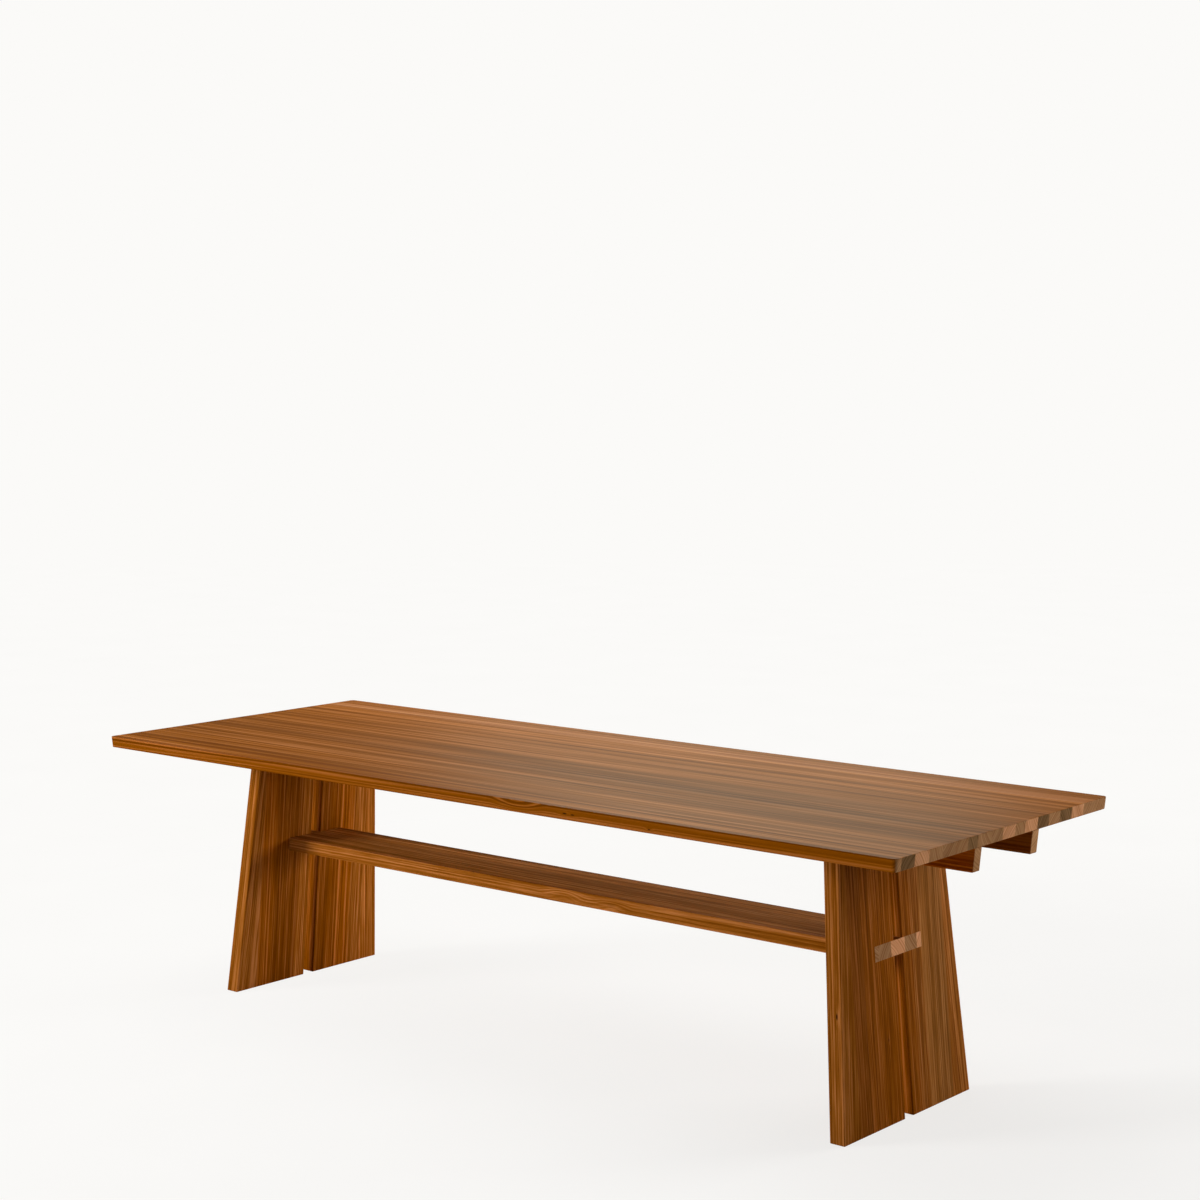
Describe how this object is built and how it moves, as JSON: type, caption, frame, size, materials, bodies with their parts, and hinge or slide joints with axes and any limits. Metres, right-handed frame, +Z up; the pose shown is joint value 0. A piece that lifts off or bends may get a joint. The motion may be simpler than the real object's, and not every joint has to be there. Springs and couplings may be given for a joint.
{
  "type": "trestle dining table",
  "caption": "Long solid-wood trestle dining table: staved top on bearers, splayed split legs and a stretcher that runs through them.",
  "frame": {"origin": "on the floor, under the middle of the top", "axes": "+X along the table's length, +Y from the front to the rear, +Z up"},
  "size_m": [2.5998, 0.9498, 0.72],
  "materials": {
    "walnut_pale": "oiled satin, pale heartwood",
    "walnut_mid": "oiled satin",
    "walnut_dark": "oiled satin, dark heartwood",
    "beech_dowel": "planed, hidden",
    "zinc_steel": "zinc plated, hidden"
  },
  "bodies": {
    "root": {"top_stave_01": "walnut_pale", "top_stave_02": "walnut_dark", "top_stave_03": "walnut_pale", "top_stave_04": "walnut_mid", "top_stave_05": "walnut_mid", "top_stave_06": "walnut_mid", "top_stave_07": "walnut_dark", "top_stave_08": "walnut_pale", "top_stave_09": "walnut_mid", "top_stave_10": "walnut_pale", "top_stave_11": "walnut_mid", "top_stave_12": "walnut_pale", "top_stave_13": "walnut_dark", "top_stave_14": "walnut_mid", "top_stave_15": "walnut_dark", "top_stave_16": "walnut_pale", "top_stave_17": "walnut_mid", "top_stave_18": "walnut_mid", "bearer_front": "walnut_mid", "bearer_rear": "walnut_mid", "stretcher_stave_1": "walnut_pale", "stretcher_stave_2": "walnut_mid", "stretcher_stave_3": "walnut_pale", "stretcher_stave_4": "walnut_mid", "stretcher_stave_5": "walnut_pale", "leg_left_front_inner_stave_1_lower": "walnut_mid", "leg_left_front_inner_stave_1_upper": "walnut_mid", "leg_left_front_inner_stave_2_lower": "walnut_dark", "leg_left_front_inner_stave_2_upper": "walnut_dark", "leg_left_front_outer_stave_1": "walnut_mid", "leg_left_front_outer_stave_2": "walnut_dark", "leg_left_front_outer_stave_3": "walnut_pale", "leg_left_rear_inner_stave_1_lower": "walnut_mid", "leg_left_rear_inner_stave_1_upper": "walnut_mid", "leg_left_rear_inner_stave_2_lower": "walnut_dark", "leg_left_rear_inner_stave_2_upper": "walnut_dark", "leg_left_rear_outer_stave_1": "walnut_mid", "leg_left_rear_outer_stave_2": "walnut_dark", "leg_left_rear_outer_stave_3": "walnut_pale", "leg_right_front_inner_stave_1_lower": "walnut_mid", "leg_right_front_inner_stave_1_upper": "walnut_mid", "leg_right_front_inner_stave_2_lower": "walnut_dark", "leg_right_front_inner_stave_2_upper": "walnut_dark", "leg_right_front_outer_stave_1": "walnut_mid", "leg_right_front_outer_stave_2": "walnut_dark", "leg_right_front_outer_stave_3": "walnut_pale", "leg_right_rear_inner_stave_1_lower": "walnut_mid", "leg_right_rear_inner_stave_1_upper": "walnut_mid", "leg_right_rear_inner_stave_2_lower": "walnut_dark", "leg_right_rear_inner_stave_2_upper": "walnut_dark", "leg_right_rear_outer_stave_1": "walnut_mid", "leg_right_rear_outer_stave_2": "walnut_dark", "leg_right_rear_outer_stave_3": "walnut_pale", "stretcher_dowels": "beech_dowel", "bearer_dowels": "beech_dowel", "top_screws": "zinc_steel"}
  },
  "joints": []
}
